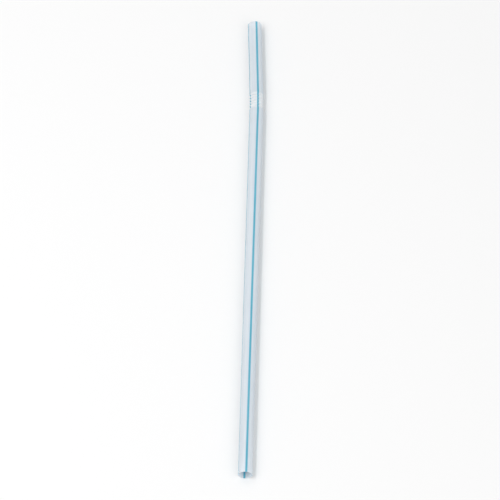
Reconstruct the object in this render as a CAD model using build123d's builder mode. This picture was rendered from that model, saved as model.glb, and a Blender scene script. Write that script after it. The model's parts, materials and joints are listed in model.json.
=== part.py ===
from build123d import *
from math import atan2, cos, radians, sin, tan
import os

# Flexible drinking straw, lying as it comes to rest: one thin tube with a short bellows near its mouth.
# The stem runs along +Y from the foot, and the mouth arm is flexed sideways, towards -X, at the bellows.
# All lengths are in millimetres and all angles in degrees.

# Tube
tube_diameter = 5.5
film_thickness = 0.15
stem_length = 168.0
mouth_length = 35.0

# Bellows, pushed together
fold_count = 5
fold_pitch = 1.4
fold_depth = 0.55
flex_angle = 2.6

# How one fold divides its pitch: half a crest, the steep flank, the valley, the long flank, half a crest
half_crest_share = 0.12
steep_flank_share = 0.20
valley_share = 0.20

# Derived sizes
tube_radius = tube_diameter / 2
bore_radius = tube_radius - film_thickness
bellows_length = fold_count * fold_pitch
steep_run = fold_pitch * steep_flank_share
valley_run = fold_pitch * valley_share
half_crest_run = fold_pitch * half_crest_share
long_run = fold_pitch - steep_run - valley_run - 2 * half_crest_run
steep_angle = atan2(fold_depth, steep_run)
long_angle = atan2(fold_depth, long_run)
steep_corner = film_thickness * tan(steep_angle / 2)
long_corner = film_thickness * tan(long_angle / 2)
flex_radius = bellows_length / radians(flex_angle)

# Overall box, from which the origin is set to the middle of the bottom
mouth_sideways = flex_radius * (1 - cos(radians(flex_angle))) + mouth_length * sin(radians(flex_angle))
mouth_forward = flex_radius * sin(radians(flex_angle)) + mouth_length * cos(radians(flex_angle))
overall_width = mouth_sideways + tube_radius * cos(radians(flex_angle)) + tube_radius
overall_length = stem_length + mouth_forward + tube_radius * sin(radians(flex_angle))
stem_x = overall_width / 2 - tube_radius
foot_y = -overall_length / 2


def fold_stations(crest_radius, crest_gain):
    """Returns (distance along the bellows, radius) at each corner of one surface of the film.

    The outer surface has the crests as given. The inner one lies a film's thickness below it, so its
    corners move along the tube by crest_gain times the film's own corner offsets.
    """
    stations = [(0, crest_radius)]
    for fold in range(fold_count):
        start = fold * fold_pitch
        steep_top = start + half_crest_run - crest_gain * steep_corner
        steep_foot = start + half_crest_run + steep_run - crest_gain * steep_corner
        long_foot = start + half_crest_run + steep_run + valley_run + crest_gain * long_corner
        long_top = long_foot + long_run
        stations.append((steep_top, crest_radius))
        stations.append((steep_foot, crest_radius - fold_depth))
        stations.append((long_foot, crest_radius - fold_depth))
        stations.append((long_top, crest_radius))
    stations.append((bellows_length, crest_radius))
    return stations


# The line that the tube follows: straight stem, flexed bellows, straight mouth arm
with BuildLine(Plane.XY.offset(tube_radius)) as spine:
    stem_line = Line((stem_x, foot_y), (stem_x, foot_y + stem_length))
    bellows_line = JernArc(stem_line @ 1, stem_line % 1, flex_radius, flex_angle)
    mouth_line = Line(bellows_line @ 1, bellows_line @ 1 + (bellows_line % 1) * mouth_length)

foot_plane = Plane(stem_line ^ 0)
mouth_plane = Plane(mouth_line ^ 0)


with BuildPart() as straw:
    # Outside of the stem, the folds and the mouth arm
    with BuildSketch(foot_plane):
        Circle(tube_radius)
    extrude(amount=stem_length)
    for distance, radius in fold_stations(tube_radius, 0):
        with BuildSketch(Plane(bellows_line ^ (distance / bellows_length))):
            Circle(radius)
    loft(ruled=True)
    with BuildSketch(mouth_plane):
        Circle(tube_radius)
    extrude(amount=mouth_length)

    # The bore follows the same line, a film's thickness inside
    with BuildSketch(foot_plane):
        Circle(bore_radius)
    extrude(amount=stem_length, mode=Mode.SUBTRACT)
    for distance, radius in fold_stations(bore_radius, 1):
        with BuildSketch(Plane(bellows_line ^ (distance / bellows_length))):
            Circle(radius)
    loft(ruled=True, mode=Mode.SUBTRACT)
    with BuildSketch(mouth_plane):
        Circle(bore_radius)
    extrude(amount=mouth_length, mode=Mode.SUBTRACT)

straw.part.label = "straw"
os.makedirs("parts", exist_ok=True)
export_step(straw.part, "parts/straw.step")
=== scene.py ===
"""Looks of the flexible drinking straw: one striped film tube with a bellows near its mouth.

Lengths are in metres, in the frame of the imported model: +Y runs along the stem from the foot, +Z is up.
"""

import json
import logging
import math
from collections.abc import Iterator
from dataclasses import dataclass
from enum import Enum
from itertools import pairwise

import bmesh
import bpy
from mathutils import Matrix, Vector


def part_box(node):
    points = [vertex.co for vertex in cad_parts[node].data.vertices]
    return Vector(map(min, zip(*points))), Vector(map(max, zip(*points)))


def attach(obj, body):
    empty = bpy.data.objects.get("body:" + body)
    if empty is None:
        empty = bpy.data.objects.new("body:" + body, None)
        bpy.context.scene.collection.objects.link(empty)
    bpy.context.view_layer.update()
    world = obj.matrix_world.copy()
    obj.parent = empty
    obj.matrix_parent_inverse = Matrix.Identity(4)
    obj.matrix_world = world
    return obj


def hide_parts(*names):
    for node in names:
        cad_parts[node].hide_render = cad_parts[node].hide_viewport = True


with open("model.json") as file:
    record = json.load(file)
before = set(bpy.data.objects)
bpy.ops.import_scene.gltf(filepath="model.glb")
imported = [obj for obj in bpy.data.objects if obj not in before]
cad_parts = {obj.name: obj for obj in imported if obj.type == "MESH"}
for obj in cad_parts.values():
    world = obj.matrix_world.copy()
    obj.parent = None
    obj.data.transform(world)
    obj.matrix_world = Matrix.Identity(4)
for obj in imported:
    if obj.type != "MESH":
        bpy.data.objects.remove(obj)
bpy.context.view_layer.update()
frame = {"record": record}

Colour = tuple[float, float, float]
Socket = bpy.types.NodeSocket

MM = 0.001
QUARTER_TURN = math.radians(90)
PLACE_MARK = "film_place"
FOLD_MARK = "film_fold"
LOG = logging.getLogger("drinking_straw")


def opaque(colour: Colour) -> tuple[float, float, float, float]:
    """The colour with full alpha, as a colour socket takes it."""
    return (*colour, 1.0)


class Corner(Enum):
    """The kinds of sharp corner that the plain tube has before it is softened."""

    OUTER_FOLD = "outer_fold"
    BORE_FOLD = "bore_fold"
    CUT_END = "cut_end"


class LampRole(Enum):
    """What a lamp of the studio is for."""

    KEY = "key"
    FILL = "fill"
    GLINT = "glint"


@dataclass(frozen=True)
class FilmPlace:
    """Where a point lies on the tube: how far along its line, beside it and above it."""

    along: float
    beside: float
    above: float

    @property
    def radius(self) -> float:
        """Distance from the tube's line."""
        return math.hypot(self.beside, self.above)

    @property
    def angle(self) -> float:
        """Angle round the line, 0 straight up and positive towards +X."""
        return math.atan2(self.beside, self.above)


@dataclass(frozen=True)
class TubeLine:
    """The line through the middle of the tube: a straight stem, a flexed bellows, a straight mouth arm."""

    foot: Vector
    stem_length: float
    bellows_length: float
    mouth_length: float
    flex: float

    @classmethod
    def from_record(cls, record: dict, low: Vector) -> "TubeLine":
        """Works the line out from the mounts at the two bores.

        Args:
            record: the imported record.
            low: lowest corner of the straw's box.

        Returns:
            The tube's line.
        """
        mounts = {mount["name"]: mount for mount in record["mounts"]}
        stem, mouth = mounts["foot_bore"], mounts["mouth_bore"]
        stem_length = stem["dims"]["length_mm"] * MM
        mouth_length = mouth["dims"]["length_mm"] * MM
        foot = Vector((stem["pos_m"][0], low.y, stem["pos_m"][2]))
        heading = -Vector(stem["axis"])
        flex = heading.angle(Vector(mouth["axis"]))
        bellows_start = foot + heading * stem_length
        bellows_end = Vector(mouth["pos_m"]) - Vector(mouth["axis"]) * mouth_length / 2
        chord = (bellows_end - bellows_start).length
        bellows_length = chord * (flex / 2) / math.sin(flex / 2)
        return cls(foot, stem_length, bellows_length, mouth_length, flex)

    @property
    def length(self) -> float:
        """Length of the whole line."""
        return self.stem_length + self.bellows_length + self.mouth_length

    @property
    def flex_radius(self) -> float:
        """Radius of the line along the bellows."""
        return self.bellows_length / self.flex

    @property
    def flex_centre(self) -> Vector:
        """Point that the bellows bends round."""
        return self.foot + Vector((-self.flex_radius, self.stem_length, 0))

    def turn(self, along: float) -> float:
        """How far the line has turned from +Y towards -X at a distance along it."""
        return min(max((along - self.stem_length) / self.flex_radius, 0), self.flex)

    def to_end(self, along: float) -> float:
        """Distance to the nearer end of the line."""
        return min(along, self.length - along)

    @staticmethod
    def axes(turn: float) -> tuple[Vector, Vector]:
        """Directions at a turn of the line: away from the centre of the flex, and ahead along the line."""
        return Vector((math.cos(turn), math.sin(turn), 0)), Vector((-math.sin(turn), math.cos(turn), 0))

    def point(self, along: float) -> Vector:
        """The point of the line at a distance along it.

        Args:
            along: distance from the foot.

        Returns:
            The point, in the part's frame.
        """
        turn = self.turn(along)
        if turn == 0:
            return self.foot + Vector((0, along, 0))
        spoke, heading = self.axes(turn)
        ahead = max(along - self.stem_length - self.bellows_length, 0)
        return self.flex_centre + spoke * self.flex_radius + heading * ahead

    def place(self, point: Vector) -> FilmPlace:
        """Finds a point of the film on the tube.

        Args:
            point: a point near the tube, in the part's frame.

        Returns:
            Its place along, beside and above the line.
        """
        offset = point - self.flex_centre
        turn = min(max(math.atan2(offset.y, offset.x), 0), self.flex)
        spoke, heading = self.axes(turn)
        along = self.stem_length + self.flex_radius * turn + offset.dot(heading)
        beside = offset.dot(spoke) - self.flex_radius
        return FilmPlace(along, beside, point.z - self.foot.z)


class NodeBench:
    """Places the nodes of one shader tree and wires them up."""

    column_width = 200
    noise_mean = 0.5
    # A Mix node's sockets share their names among its kinds of data, so those for colours go by number
    mix_colour_inputs = (6, 7)
    mix_colour_output = 2

    def __init__(self, tree: bpy.types.NodeTree) -> None:
        """Starts from an empty tree."""
        tree.nodes.clear()
        self.tree = tree

    def add(self, kind: str, sockets: dict | None = None, **settings: object) -> bpy.types.Node:
        """Adds a node to the right of the others.

        Args:
            kind: the node's type.
            sockets: each input, by name or number, with its value or the socket that feeds it.
            settings: the node's own properties.

        Returns:
            The new node.
        """
        node = self.tree.nodes.new(kind)
        node.location.x = self.column_width * len(self.tree.nodes)
        for name, value in settings.items():
            setattr(node, name, value)
        for key, value in (sockets or {}).items():
            if isinstance(value, Socket):
                self.tree.links.new(value, node.inputs[key])
            else:
                node.inputs[key].default_value = value
        return node

    def math(self, operation: str, *terms: Socket | float) -> Socket:
        """Adds a Math node and returns its result."""
        return self.add("ShaderNodeMath", dict(enumerate(terms)), operation=operation).outputs[0]

    def step(self, value: Socket, low: float, high: float, start: float = 0.0, end: float = 1.0) -> Socket:
        """Adds a smooth step.

        Args:
            value: what is measured.
            low: where the step begins.
            high: where it ends.
            start: result before the step.
            end: result after it.

        Returns:
            The stepped value.
        """
        sockets = {"Value": value, "From Min": low, "From Max": high, "To Min": start, "To Max": end}
        return self.add("ShaderNodeMapRange", sockets, interpolation_type="SMOOTHSTEP").outputs["Result"]

    def blend(self, share: Socket, first: Socket | Colour, second: Socket | Colour) -> Socket:
        """Mixes two colours.

        Args:
            share: share of the second colour.
            first: the colour where the share is 0.
            second: the colour where the share is 1.

        Returns:
            The mixed colour.
        """
        colours = [value if isinstance(value, Socket) else opaque(value) for value in (first, second)]
        sockets = {"Factor": share, **dict(zip(self.mix_colour_inputs, colours))}
        return self.add("ShaderNodeMix", sockets, data_type="RGBA").outputs[self.mix_colour_output]

    def mix(self, share: Socket | float, first: Socket, second: Socket) -> Socket:
        """Adds a Mix Shader node, with a share of the second shader, and returns its result."""
        return self.add("ShaderNodeMixShader", dict(enumerate((share, first, second)))).outputs[0]

    def noise(self, vector: Socket, detail: float, scale: float = 1.0) -> Socket:
        """Adds a noise texture and returns its value, which is about noise_mean on average."""
        sockets = {"Vector": vector, "Scale": scale, "Detail": detail}
        return self.add("ShaderNodeTexNoise", sockets).outputs[0]


@dataclass(frozen=True)
class StripedFilm:
    """Thin milky plastic film, with stripes of pigment drawn through it and paler folds: partly crease
    whitening, partly painted highlight on the crests and painted light over the folds' shade.

    foot_turn and mouth_turn are a stripe's angles from the top, and wander_spacing lets the edges of each
    stripe wander in their own way. crest_depth is the number of fold depths over which the pale folds
    fade, so with 2 the valleys are painted pale too, which is painted light over their shade. pigment_hold
    is the share of its colour that a stripe keeps there.
    """

    name: str = "striped_film"
    film_colour: Colour = (0.89, 0.923, 0.953)
    streak_colour: Colour = (0.825, 0.876, 0.925)
    stripe_colour: Colour = (0.14, 0.54, 0.70)
    stripe_streak_colour: Colour = (0.19, 0.60, 0.755)
    # Pale colour of the folds and cut ends: crease whitening, and in the bellows also painted highlight
    # and painted light over the folds' shade
    crease_and_painted_light_colour: Colour = (0.98, 0.985, 0.99)
    stripe_count: int = 4
    stripe_width: float = 0.85 * MM
    foot_turn: float = math.radians(8)
    mouth_turn: float = math.radians(15)
    edge_softness: float = 0.07 * MM
    edge_wander: float = 0.10 * MM
    wander_length: float = 12 * MM
    wander_spacing: float = 7.0
    wander_detail: float = 2.0
    streak_fineness: float = 5.0
    streak_length: float = 40 * MM
    grain_fineness: float = 30.0
    grain_length: float = 9 * MM
    line_detail: float = 3.0
    line_low: float = 0.32
    line_high: float = 0.68
    crease_and_painted_light_strength: float = 1.0
    crest_depth: float = 2.0
    cut_strength: float = 0.5
    crease_patchiness: float = 0.2
    crease_roughness: float = 0.2
    pigment_hold: float = 1.0
    roughness: float = 0.16
    grain_roughness: float = 0.14
    bump_depth: float = 0.006 * MM
    bump_strength: float = 0.4
    refraction: float = 1.49
    light_through: float = 0.28
    see_through: float = 0.22

    def make(self, tube_radius: float, tube_length: float) -> bpy.types.Material:
        """Builds the film's material.

        Args:
            tube_radius: radius of the tube that the stripes run along.
            tube_length: length of the tube along its line.

        Returns:
            The material.
        """
        material = bpy.data.materials.new(self.name)
        material.use_nodes = True
        bench = NodeBench(material.node_tree)
        place = bench.add("ShaderNodeAttribute", attribute_name=PLACE_MARK).outputs["Vector"]
        stripes = self.stripes(bench, place, tube_radius, tube_length)
        streaks = self.drawn_lines(bench, place, self.streak_fineness, self.streak_length)
        grain = self.drawn_lines(bench, place, self.grain_fineness, self.grain_length)
        film = bench.blend(streaks, self.film_colour, self.streak_colour)
        pigment = bench.blend(streaks, self.stripe_colour, self.stripe_streak_colour)
        striped = bench.blend(stripes, film, pigment)
        creases_and_painted_light = self.creases_and_painted_light(bench, streaks)
        yielding = bench.math("MULTIPLY_ADD", stripes, -self.pigment_hold, 1.0)
        crease_and_painted_light_share = bench.math("MULTIPLY", creases_and_painted_light, yielding)
        # Paints the folds pale: partly crease whitening, partly painted highlight on the crests and
        # painted light over the shade of the valleys
        colour = bench.blend(crease_and_painted_light_share, striped, self.crease_and_painted_light_colour)
        gloss_lines = bench.math("MULTIPLY_ADD", grain, self.grain_roughness, self.roughness)
        roughness = bench.math("MULTIPLY_ADD", creases_and_painted_light, self.crease_roughness, gloss_lines)
        bump = bench.add("ShaderNodeBump", {"Height": grain, "Strength": self.bump_strength,
                                            "Distance": self.bump_depth}).outputs["Normal"]
        gloss = bench.add("ShaderNodeBsdfPrincipled", {"Base Color": colour, "Roughness": roughness,
                                                       "Normal": bump, "IOR": self.refraction}).outputs[0]
        glow = bench.add("ShaderNodeBsdfTranslucent", {"Color": colour, "Normal": bump}).outputs[0]
        milky = bench.mix(self.light_through, gloss, glow)
        clear = bench.add("ShaderNodeBsdfTransparent").outputs[0]
        bench.add("ShaderNodeOutputMaterial", {"Surface": bench.mix(self.see_through, milky, clear)})
        return material

    def stripes(self, bench: NodeBench, place: Socket, tube_radius: float, tube_length: float) -> Socket:
        """Marks the stripes, even round the tube, with a slow twist and edges that wander a little.

        Args:
            bench: the material's nodes.
            place: sine and cosine of the angle round the tube, and the distance along it.
            tube_radius: radius of the tube.
            tube_length: length of the tube along its line.

        Returns:
            1 in a stripe and 0 between the stripes.
        """
        split = bench.add("ShaderNodeSeparateXYZ", {"Vector": place})
        sine, cosine, along = split.outputs
        angle = bench.math("ARCTAN2", sine, cosine)
        twist = (self.mouth_turn - self.foot_turn) / tube_length
        turn = bench.math("MULTIPLY_ADD", along, twist, self.foot_turn)
        phase = bench.math("MULTIPLY", bench.math("SUBTRACT", angle, turn), self.stripe_count / math.tau)
        nearest = bench.math("ROUND", phase)
        stripe = bench.math("FLOORED_MODULO", nearest, float(self.stripe_count))
        off_middle = bench.math("ABSOLUTE", bench.math("SUBTRACT", phase, nearest))
        distance = bench.math("MULTIPLY", off_middle, math.tau * tube_radius / self.stripe_count)
        run = bench.math("DIVIDE", along, self.wander_length)
        row = bench.math("MULTIPLY", stripe, self.wander_spacing)
        spot = bench.add("ShaderNodeCombineXYZ", {"X": run, "Y": row}).outputs[0]
        wander = bench.math("SUBTRACT", bench.noise(spot, self.wander_detail), bench.noise_mean)
        edge = bench.math("MULTIPLY_ADD", wander, self.edge_wander, distance)
        half = self.stripe_width / 2
        return bench.step(edge, half - self.edge_softness, half + self.edge_softness, 1.0, 0.0)

    def drawn_lines(self, bench: NodeBench, place: Socket, fineness: float, length: float) -> Socket:
        """Makes lines along the tube, as drawing the film leaves them.

        Args:
            bench: the material's nodes.
            place: sine and cosine of the angle round the tube, and the distance along it.
            fineness: number of lines in a radius' width.
            length: usual length of a line.

        Returns:
            A value from 0 to 1.
        """
        scale = (1.0, 1.0, 1.0 / (length * fineness))
        stretched = bench.add("ShaderNodeVectorMath", {0: place, 1: scale}, operation="MULTIPLY")
        lines = bench.noise(stretched.outputs[0], self.line_detail, fineness)
        return bench.step(lines, self.line_low, self.line_high)

    def creases_and_painted_light(self, bench: NodeBench, streaks: Socket) -> Socket:
        """Marks the film that is made pale in the bellows and at a cut end: crease whitening, and in the
        bellows also painted highlight on the crests and painted light over the shade of the valleys.

        Args:
            bench: the material's nodes.
            streaks: the film's streaks, along which it turns more or less pale.

        Returns:
            Share of the pale colour: crease whitening, and painted light in the bellows.
        """
        fold = bench.add("ShaderNodeAttribute", attribute_name=FOLD_MARK).outputs["Vector"]
        depth, in_bellows, at_cut = bench.add("ShaderNodeSeparateXYZ", {"Vector": fold}).outputs
        # Paleness over the fold's depth: crease whitening plus painted light; with crest_depth 2 it
        # reaches into the shaded valleys
        crease = bench.step(depth, 0.0, self.crest_depth, self.crease_and_painted_light_strength, 0.0)
        crest = bench.math("MULTIPLY", crease, in_bellows)
        pale = bench.math("MULTIPLY_ADD", at_cut, self.cut_strength, crest)
        patchy = bench.math("MULTIPLY_ADD", streaks, self.crease_patchiness, 1.0 - self.crease_patchiness)
        return bench.math("MULTIPLY", pale, patchy)


@dataclass
class Straw:
    """The whole straw: one film tube, drawn ring by ring from the foot to the mouth."""

    line: TubeLine
    tube_radius: float
    film: float
    name: str = "striped_tube"
    fold_count: int = 5
    fold_depth: float = 0.55 * MM
    half_crest_share: float = 0.12
    steep_flank_share: float = 0.20
    valley_share: float = 0.20
    sides: int = 96
    ring_gap: float = 4.0 * MM
    collar: float = 0.3 * MM
    corner_angle: float = math.radians(25)
    outer_softening: float = 0.06 * MM
    bore_softening: float = 0.02 * MM
    cut_softening: float = 0.04 * MM
    softening_steps: int = 3
    smooth_angle: float = math.radians(40)

    @classmethod
    def from_record(cls, record: dict, low: Vector) -> "Straw":
        """Takes the tube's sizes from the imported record.

        Args:
            record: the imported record.
            low: lowest corner of the straw's box.

        Returns:
            The straw, not yet modelled.
        """
        sizes = {mount["name"]: mount["dims"]["r_mm"] * MM for mount in record["mounts"]}
        film = sizes["stem"] - sizes["foot_bore"]
        return cls(TubeLine.from_record(record, low), sizes["stem"], film)

    def softening(self, corner: Corner) -> float:
        """Tells how far a corner of the film is rounded back.

        Args:
            corner: the kind of corner.

        Returns:
            The distance from the corner to where its rounding starts.
        """
        distances = {
            Corner.OUTER_FOLD: self.outer_softening,
            Corner.BORE_FOLD: self.bore_softening,
            Corner.CUT_END: self.cut_softening,
        }
        return distances[corner]

    def rings(self) -> Iterator[tuple[float, float]]:
        """Lists the rings of the outer surface, from the foot to the mouth.

        Yields:
            Distance from the foot, and radius.
        """
        yield 0, self.tube_radius
        yield from self.plain_rings(0, self.line.stem_length)
        yield from self.fold_corners()
        yield from self.plain_rings(self.line.stem_length + self.line.bellows_length, self.line.length)
        yield self.line.length, self.tube_radius

    def plain_rings(self, start: float, end: float) -> Iterator[tuple[float, float]]:
        """Lists evenly spaced rings of a plain stretch, a collar short of its ends.

        Args:
            start: distance of the stretch's start from the foot.
            end: distance of its end from the foot.

        Yields:
            Distance from the foot, and radius.
        """
        first, last = start + self.collar, end - self.collar
        steps = round((last - first) / self.ring_gap)
        for step in range(steps + 1):
            yield first + (last - first) * step / steps, self.tube_radius

    def fold_corners(self) -> Iterator[tuple[float, float]]:
        """Lists the rings at the corners of the folds: each has a steep flank, a valley and a long flank.

        Yields:
            Distance from the foot, and radius.
        """
        pitch = self.line.bellows_length / self.fold_count
        valley_radius = self.tube_radius - self.fold_depth
        steep_foot_share = self.half_crest_share + self.steep_flank_share
        for fold in range(self.fold_count):
            start = self.line.stem_length + fold * pitch
            yield start + self.half_crest_share * pitch, self.tube_radius
            yield start + steep_foot_share * pitch, valley_radius
            yield start + (steep_foot_share + self.valley_share) * pitch, valley_radius
            yield start + (1 - self.half_crest_share) * pitch, self.tube_radius

    def build(self) -> bpy.types.Object:
        """Models the tube: its outer surface, then its wall, then its softened corners.

        Returns:
            The finished piece.
        """
        tube = self.draw_surface()
        self.give_wall(tube)
        for corner in Corner:
            self.soften(tube, corner)
        self.mark_film(tube)
        bpy.ops.object.shade_smooth_by_angle(angle=self.smooth_angle)
        return tube

    def draw_surface(self) -> bpy.types.Object:
        """Extrudes a circle ring by ring along the line.

        Returns:
            The open outer surface.
        """
        bpy.ops.object.select_all(action="DESELECT")
        bpy.ops.mesh.primitive_circle_add(vertices=self.sides, radius=self.tube_radius,
                                          location=self.line.foot, rotation=(QUARTER_TURN, 0, 0))
        tube = bpy.context.object
        tube.name = self.name
        bpy.ops.object.transform_apply(location=True, rotation=True, scale=True)
        bpy.ops.object.mode_set(mode="EDIT")
        bpy.ops.mesh.select_all(action="SELECT")
        for (last, last_radius), (along, radius) in pairwise(self.rings()):
            centre = self.line.point(along)
            advance = centre - self.line.point(last)
            bpy.ops.mesh.extrude_edges_move(TRANSFORM_OT_translate={"value": advance})
            if radius != last_radius:
                bpy.ops.transform.resize(value=(radius / last_radius,) * 3, center_override=centre)
            turn = self.line.turn(along) - self.line.turn(last)
            if turn:
                bpy.ops.transform.rotate(value=-turn, orient_axis="Z", center_override=centre)
        bpy.ops.mesh.select_all(action="SELECT")
        bpy.ops.mesh.normals_make_consistent(inside=False)
        bpy.ops.object.mode_set(mode="OBJECT")
        return tube

    def give_wall(self, tube: bpy.types.Object) -> None:
        """Gives the open surface its film's thickness, inwards.

        Args:
            tube: the open surface.
        """
        wall = tube.modifiers.new("film", "SOLIDIFY")
        wall.thickness = self.film
        wall.offset = -1
        wall.use_even_offset = True
        wall.use_quality_normals = True
        bpy.ops.object.modifier_apply(modifier=wall.name)

    def soften(self, tube: bpy.types.Object, corner: Corner) -> None:
        """Rounds one kind of corner.

        Args:
            tube: the tube with its wall.
            corner: the kind of corner.
        """
        bpy.ops.object.mode_set(mode="EDIT")
        bpy.ops.mesh.select_mode(type="EDGE")
        bpy.ops.mesh.select_all(action="DESELECT")
        mesh = bmesh.from_edit_mesh(tube.data)
        for edge in mesh.edges:
            middle = (edge.verts[0].co + edge.verts[1].co) / 2
            sharp = edge.calc_face_angle() > self.corner_angle
            edge.select_set(sharp and self.corner_kind(self.line.place(middle)) is corner)
        bmesh.update_edit_mesh(tube.data)
        bpy.ops.mesh.bevel(offset=self.softening(corner), segments=self.softening_steps, affect="EDGES")
        bpy.ops.object.mode_set(mode="OBJECT")

    def corner_kind(self, place: FilmPlace) -> Corner:
        """Tells what kind of corner lies at a place on the film.

        Args:
            place: the middle of a sharp edge.

        Returns:
            The kind of corner.
        """
        if self.line.to_end(place.along) < self.film:
            return Corner.CUT_END
        outer_radii = (self.tube_radius, self.tube_radius - self.fold_depth)
        on_outside = any(abs(place.radius - radius) < self.film / 2 for radius in outer_radii)
        return Corner.OUTER_FOLD if on_outside else Corner.BORE_FOLD

    def mark_film(self, tube: bpy.types.Object) -> None:
        """Notes on each point of the film where it lies on the tube, and how deep in a fold.

        Args:
            tube: the finished mesh.
        """
        mesh = tube.data
        place_marks = mesh.attributes.new(PLACE_MARK, "FLOAT_VECTOR", "POINT")
        fold_marks = mesh.attributes.new(FOLD_MARK, "FLOAT_VECTOR", "POINT")
        for vertex in mesh.vertices:
            place = self.line.place(vertex.co)
            around = place.angle
            place_marks.data[vertex.index].vector = (math.sin(around), math.cos(around), place.along)
            fold_marks.data[vertex.index].vector = self.fold_mark(place, vertex)

    def fold_mark(self, place: FilmPlace, vertex: bpy.types.MeshVertex) -> Vector:
        """How deep in a fold, or how near a cut end, a point of the film lies.

        Args:
            place: where the point lies on the tube.
            vertex: the point, whose normal tells the outside from the bore.

        Returns:
            Depth as a share of the fold's depth, 1 in the bellows or 0 outside it, and nearness to a cut
            end, which is 1 at the cut and 0 from a collar's length on.
        """
        into_bellows = place.along - self.line.stem_length
        if not 0 < into_bellows < self.line.bellows_length:
            return Vector((0, 0, max(1 - self.line.to_end(place.along) / self.collar, 0)))
        outward = vertex.co - self.line.point(place.along)
        crest = self.tube_radius if vertex.normal.dot(outward) > 0 else self.tube_radius - self.film
        depth = (crest - place.radius) / self.fold_depth
        return Vector((min(max(depth, 0), 1), 1, 0))

    def dress(self, tube: bpy.types.Object, finish: StripedFilm) -> None:
        """Gives the tube its finish and its place in the frame.

        Args:
            tube: the finished piece.
            finish: the film's finish.
        """
        tube.data.materials.clear()
        tube.data.materials.append(finish.make(self.tube_radius, self.line.length))
        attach(tube, "root")
        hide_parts("straw")
        LOG.info("%s: %d faces", tube.name, len(tube.data.polygons))


def direction(azimuth: float, elevation: float) -> Vector:
    """Unit vector from the object towards a stand.

    Args:
        azimuth: degrees, 0 on the -Y side and 90 on the +X side.
        elevation: degrees above the floor.

    Returns:
        The direction.
    """
    around, up = math.radians(azimuth), math.radians(elevation)
    return Vector((math.sin(around) * math.cos(up), -math.cos(around) * math.cos(up), math.sin(up)))


@dataclass(frozen=True)
class SoftLamp:
    """A soft box that faces the middle of the object, with its width level. Its power is in watts."""

    role: LampRole
    azimuth: float
    elevation: float
    distance: float
    width: float
    height: float
    power: float

    def hang(self, aim: Vector) -> None:
        """Hangs the lamp.

        Args:
            aim: the point that it faces.
        """
        back = direction(self.azimuth, self.elevation)
        bpy.ops.object.light_add(type="AREA", location=aim + back * self.distance)
        lamp = bpy.context.object
        lamp.name = f"{self.role.value}_lamp"
        lamp.rotation_euler = back.to_track_quat("Z", "Y").to_euler()
        lamp.data.shape = "RECTANGLE"
        lamp.data.size = self.width
        lamp.data.size_y = self.height
        lamp.data.energy = self.power
        LOG.info("%s: %.1f W", lamp.name, self.power)


@dataclass(frozen=True)
class PhotoCamera:
    """The camera, at the photograph's viewing angle, with the straw upright in the frame."""

    azimuth: float = 1.5
    elevation: float = 58.0
    distance: float = 1.60
    filled_share: float = 0.90
    near_share: float = 0.01

    def stand(self, line: TubeLine) -> None:
        """Sets the camera up.

        Args:
            line: the line of the tube that fills the frame.
        """
        foot, mouth = line.point(0), line.point(line.length)
        location = (foot + mouth) / 2 + direction(self.azimuth, self.elevation) * self.distance
        to_foot, to_mouth = (foot - location).normalized(), (mouth - location).normalized()
        bpy.ops.object.camera_add(location=location)
        camera = bpy.context.object
        camera.rotation_euler = (to_foot + to_mouth).to_track_quat("-Z", "Y").to_euler()
        camera.data.angle = 2 * math.atan(math.tan(to_foot.angle(to_mouth) / 2) / self.filled_share)
        camera.data.clip_start = self.distance * self.near_share
        bpy.context.scene.camera = camera


@dataclass(frozen=True)
class PaleFloor:
    """A plain pale table that fades to white away from the object."""

    colour: Colour = (0.91, 0.91, 0.91)
    roughness: float = 0.9
    gloss: float = 0.1
    radius: float = 4.0
    sides: int = 64
    fade_start: float = 0.13
    fade_end: float = 0.34

    def lay(self) -> None:
        """Lays the floor at the height that the object rests on."""
        bpy.ops.object.select_all(action="DESELECT")
        bpy.ops.mesh.primitive_circle_add(vertices=self.sides, radius=self.radius, fill_type="NGON")
        floor = bpy.context.object
        floor.name = "floor"
        floor.data.materials.append(self.make())

    def make(self) -> bpy.types.Material:
        """Builds the floor's material: it keeps the shadow near the object and is white further off.

        Returns:
            The material.
        """
        material = bpy.data.materials.new("pale_floor")
        material.use_nodes = True
        bench = NodeBench(material.node_tree)
        table = bench.add("ShaderNodeBsdfPrincipled", {"Base Color": opaque(self.colour),
                                                       "Roughness": self.roughness,
                                                       "Specular IOR Level": self.gloss}).outputs[0]
        white = bench.add("ShaderNodeEmission").outputs[0]
        place = bench.add("ShaderNodeTexCoord").outputs["Object"]
        away = bench.add("ShaderNodeVectorMath", {0: place}, operation="LENGTH").outputs["Value"]
        fade = bench.step(away, self.fade_start, self.fade_end)
        share = bench.math("MULTIPLY", fade, seen_directly(bench))
        bench.add("ShaderNodeOutputMaterial", {"Surface": bench.mix(share, table, white)})
        return material


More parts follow.
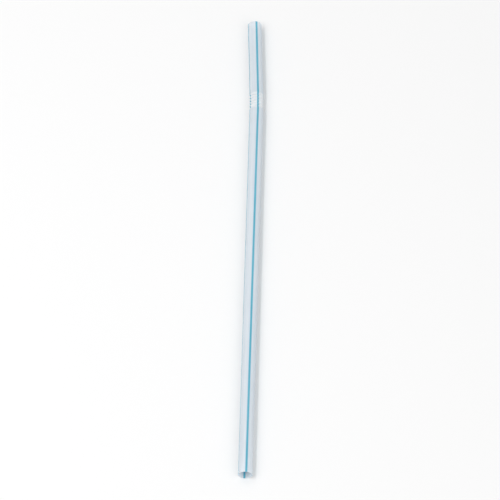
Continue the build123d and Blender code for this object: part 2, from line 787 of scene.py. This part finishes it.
def seen_directly(bench: NodeBench) -> Socket:
    """Tells rays that show the background from rays that carry light.

    Args:
        bench: the nodes of the floor or the world.

    Returns:
        1 for camera rays, mirror rays and rays through glass, 0 for the rest.
    """
    path = bench.add("ShaderNodeLightPath").outputs
    seen = bench.math("MAXIMUM", path["Is Camera Ray"], path["Is Glossy Ray"])
    return bench.math("MAXIMUM", seen, path["Is Transmission Ray"])


@dataclass(frozen=True)
class Studio:
    """Plain soft light over a pale table."""

    camera: PhotoCamera = PhotoCamera()
    floor: PaleFloor = PaleFloor()
    lamps: tuple[SoftLamp, ...] = (
        SoftLamp(LampRole.KEY, azimuth=-60, elevation=55, distance=1.8, width=1.0, height=1.0, power=8.0),
        SoftLamp(LampRole.FILL, azimuth=50, elevation=50, distance=2.0, width=1.6, height=1.6, power=9.0),
        SoftLamp(LampRole.GLINT, azimuth=-90, elevation=68, distance=0.7, width=0.7, height=0.05, power=1),
    )
    sky_colour: Colour = (1.0, 1.0, 1.0)
    sky_strength: float = 0.58
    seen_strength: float = 1.0

    def set_up(self, line: TubeLine) -> None:
        """Sets up the floor, the lamps, the sky and the camera.

        Args:
            line: the tube's line.
        """
        self.floor.lay()
        for lamp in self.lamps:
            lamp.hang(line.point(line.length / 2))
        self.light_sky()
        self.camera.stand(line)
        bpy.context.scene.view_settings.view_transform = "Standard"

    def light_sky(self) -> None:
        """Gives the world its soft light, and plain white where it is seen."""
        world = bpy.data.worlds.new("studio")
        world.use_nodes = True
        bench = NodeBench(world.node_tree)
        strength = bench.step(seen_directly(bench), 0.0, 1.0, self.sky_strength, self.seen_strength)
        sky = bench.add("ShaderNodeBackground", {"Color": opaque(self.sky_colour), "Strength": strength})
        bench.add("ShaderNodeOutputWorld", {"Surface": sky.outputs[0]})
        bpy.context.scene.world = world


def main() -> None:
    """Builds the straw, dresses it and sets up the studio."""
    logging.basicConfig(level=logging.INFO, format="%(name)s: %(message)s")
    low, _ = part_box("straw")
    straw = Straw.from_record(frame["record"], low)
    straw.dress(straw.build(), StripedFilm())
    Studio().set_up(straw.line)


if __name__ == "__main__":
    main()
